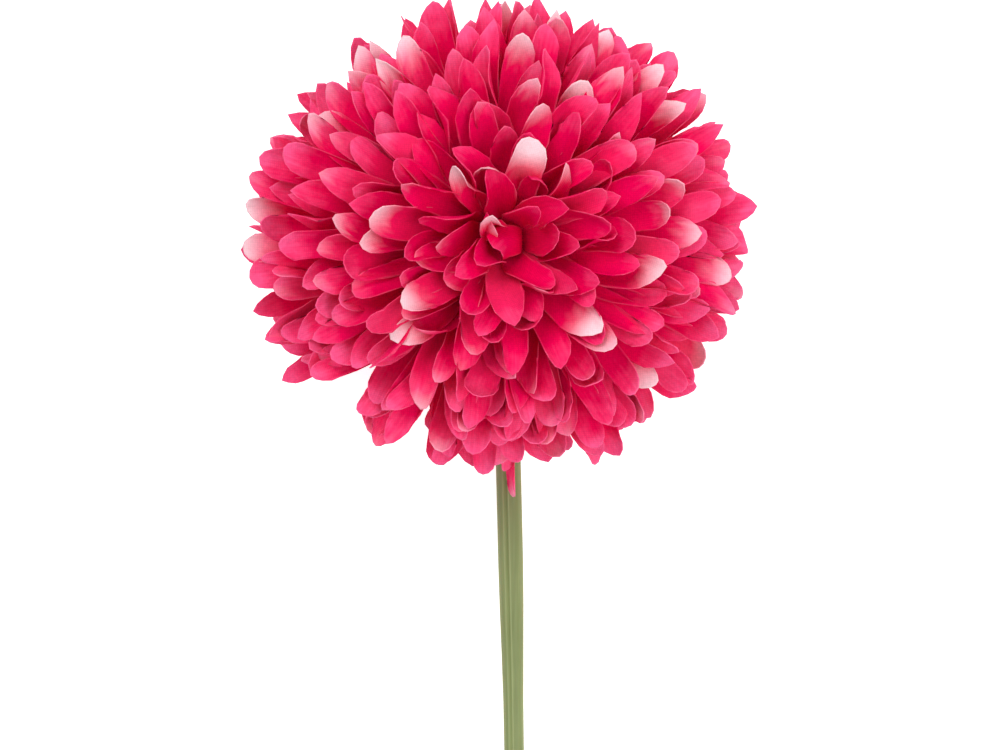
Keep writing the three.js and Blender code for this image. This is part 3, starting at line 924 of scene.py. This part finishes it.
def matt_white_table():
    """A plain matt white table top, lit a little from below as a light table is, so it stays white."""
    material, tree = new_material("matt_white_table")
    shader = add(tree, "BsdfPrincipled", {
        "Base Color": linear("#fbfbfb"),
        "Roughness": 0.8,
        "Emission Color": linear("#ffffff"),
        "Emission Strength": 0.75,
    })
    add(tree, "OutputMaterial", {"Surface": shader})
    return material


# ---------------------------------------------------------------- the stem


def stem_radius(y):
    neck = 1 - smooth(-y, -NECK_TAPER_FROM, -NECK_TAPER_TO)
    run = clamp(y / STEM_END.y)
    return lerp(lerp(STEM_RADIUS, STEM_END_RADIUS, run), NECK_RADIUS, neck)


def along_bezier(points, t):
    """Point and tangent of a curve of any degree at t."""
    points = list(points)
    while len(points) > 2:
        points = [a.lerp(b, t) for a, b in zip(points, points[1:])]
    return points[0].lerp(points[1], t), (points[1] - points[0]).normalized()


def stem_stations():
    """Point, tangent and radius down out of the calyx, round the neck and along the table."""
    middle_of_head = Vector((0, 0, HEAD_LEVEL))
    top = middle_of_head + head_up * (CALYX_BOTTOM + STEM_SOCKET)
    out = middle_of_head + head_up * CALYX_BOTTOM
    laid = Vector((out.x + BEND_SIDESTEP, out.y - BEND_RADIUS, NECK_RADIUS))
    handle = BEND_RADIUS * QUARTER_ARC_HANDLE
    neck = (out, out - head_up * handle, laid - (STEM_SWAY - laid).normalized() * handle, laid)
    stations = [along_bezier((top, out), 0.0)]
    stations += [along_bezier(neck, k / NECK_STEPS) for k in range(NECK_STEPS + 1)]
    for k in range(1, LAID_STEPS + 1):
        point, tangent = along_bezier((laid, STEM_SWAY, STEM_END), k / LAID_STEPS)
        point.z = stem_radius(point.y)
        stations.append((point, tangent))
    placed = head_place / MM - middle_of_head
    return [(point + placed, tangent, stem_radius(point.y)) for point, tangent in stations]


def sheath_outline(degrees):
    """Share of the radius, and how far up a rib, at an angle round the sheath; 90 is the top."""
    rib = sum(math.exp(-(turned_from(degrees, place) / RIB_SPREAD) ** 2) for place in SHEATH_RIBS)
    groove = math.exp(-(turned_from(degrees, SHEATH_GROOVE) / GROOVE_SPREAD) ** 2)
    return RIB_FOOT + RIB_HEIGHT * rib - GROOVE_DEPTH * groove, rib


def stem_sheath(material):
    """The extruded tube with its ribs and the wire's bore, carried along the stem."""
    bm = bmesh.new()
    angle_of = bm.verts.layers.float.new("angle")
    rib_of = bm.verts.layers.float.new("rib")
    in_bore = bm.verts.layers.int.new("bore")
    rings = []
    for bore in (0, 1):
        ring = bmesh.ops.create_circle(bm, segments=SHEATH_SIDES, radius=1)["verts"]
        for v in ring:
            v[angle_of] = math.degrees(math.atan2(v.co.y, v.co.x))
            v[in_bore] = bore
            v[rib_of] = 0 if bore else sheath_outline(v[angle_of])[1]
        rings.append(ring)

    def lay(verts, station):
        point, tangent, radius = station
        across = Vector((1, 0, 0))
        across = (across - tangent * across.dot(tangent)).normalized()
        over = tangent.cross(across)
        for v in verts:
            share = sheath_outline(v[angle_of])[0]
            reach = WIRE_BORE * radius / STEM_END_RADIUS if v[in_bore] else radius * share
            out = heading(v[angle_of]) * reach
            v.co = (point + across * out.x + over * out.y) * MM

    stations = stem_stations()
    lay(bm.verts[:], stations[0])
    loops = bm.edges[:]
    first = loops
    for station in stations[1:]:
        made = bmesh.ops.extrude_edge_only(bm, edges=loops)["geom"]
        lay([g for g in made if isinstance(g, bmesh.types.BMVert)], station)
        loops = edges_between_new(made)
    for ends in (first, loops):
        bmesh.ops.bridge_loops(bm, edges=ends)
    bmesh.ops.recalc_face_normals(bm, faces=bm.faces[:])
    for face in bm.faces:
        face.smooth = True
    cut_face = [e for e in bm.edges if len({v[in_bore] for v in e.verts}) == 2]
    rims = {v for e in cut_face for v in e.verts}
    for edge in bm.edges:
        edge.smooth = not (set(edge.verts) <= rims)
    return piece_from(bm, "ribbed_sheath", material)


# ---------------------------------------------------------------- build

layers = list_layers()
pale = pale_petals(layers)
taffeta = dyed_polyester_taffeta()
for layer in layers:
    number = f"{layer['index'] + 1:02d}"
    bm, flat, area = form_layer(layer, pale)
    piece = piece_from(bm, f"petals_{number}", taffeta)
    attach(piece, "root")
    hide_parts(f"petal_layer_{number}")

sheath_plastic = extruded_polyethylene()
calyx_plastic = moulded_polyethylene("moulded_polyethylene_calyx", "#6f7c46", "#84915a")
pin_plastic = moulded_polyethylene("moulded_polyethylene_pin", "#78854f", "#8c9862")
steel = drawn_steel_wire()
sheath = stem_sheath(sheath_plastic)
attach(sheath, "root")
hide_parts("stem_sheath")
finishes = {"calyx_plastic": calyx_plastic, "pin_plastic": pin_plastic, "wire_steel": steel}
slot_of = {entry["node"]: entry["material_slot"] for entry in frame["record"]["subparts"]}
for name, node in frame["nodes"].items():
    if slot_of[name] in finishes:
        node.data.materials.clear()
        node.data.materials.append(finishes[slot_of[name]])

# ---------------------------------------------------------------- table, light and camera

TABLE_HALF_SIDE = 6.0
KEY_OFFSET = Vector((-0.35, 0.55, 0.95))  # from the head's middle
KEY_SIZE = 0.7
KEY_WATTS = 6.3
FILL_OFFSET = Vector((0.6, -0.35, 0.9))
FILL_SIZE = 0.9
FILL_WATTS = 5.9
WORLD_STRENGTH = 0.53
CAMERA_OFFSET = Vector((0.0004, -0.038, 0.762))
LENS = 100.0

bm = bmesh.new()
bmesh.ops.create_grid(bm, x_segments=1, y_segments=1, size=TABLE_HALF_SIDE)
table_top = piece_from(bm, "table_top", matt_white_table())


def softbox(name, offset, size, watts):
    """A round soft light that faces the head's middle."""
    light = bpy.data.lights.new(name, "AREA")
    light.shape = "DISK"
    light.size = size
    light.energy = watts
    lamp = bpy.data.objects.new(name, light)
    lamp.location = head_place + offset
    lamp.rotation_euler = (-offset).to_track_quat("-Z", "Y").to_euler()
    bpy.context.scene.collection.objects.link(lamp)


softbox("key_softbox", KEY_OFFSET, KEY_SIZE, KEY_WATTS)
softbox("fill_softbox", FILL_OFFSET, FILL_SIZE, FILL_WATTS)

world = bpy.data.worlds.new("studio")
world.use_nodes = True
world.node_tree.nodes["Background"].inputs["Color"].default_value = linear("#ffffff")
world.node_tree.nodes["Background"].inputs["Strength"].default_value = WORLD_STRENGTH
bpy.context.scene.world = world

camera = bpy.data.cameras.new("camera")
camera.lens = LENS
camera.sensor_width = 36.0
camera.clip_end = 20.0
camera_object = bpy.data.objects.new("camera", camera)
camera_object.location = head_place + CAMERA_OFFSET
bpy.context.scene.collection.objects.link(camera_object)
bpy.context.scene.camera = camera_object
bpy.context.scene.view_settings.view_transform = "Standard"
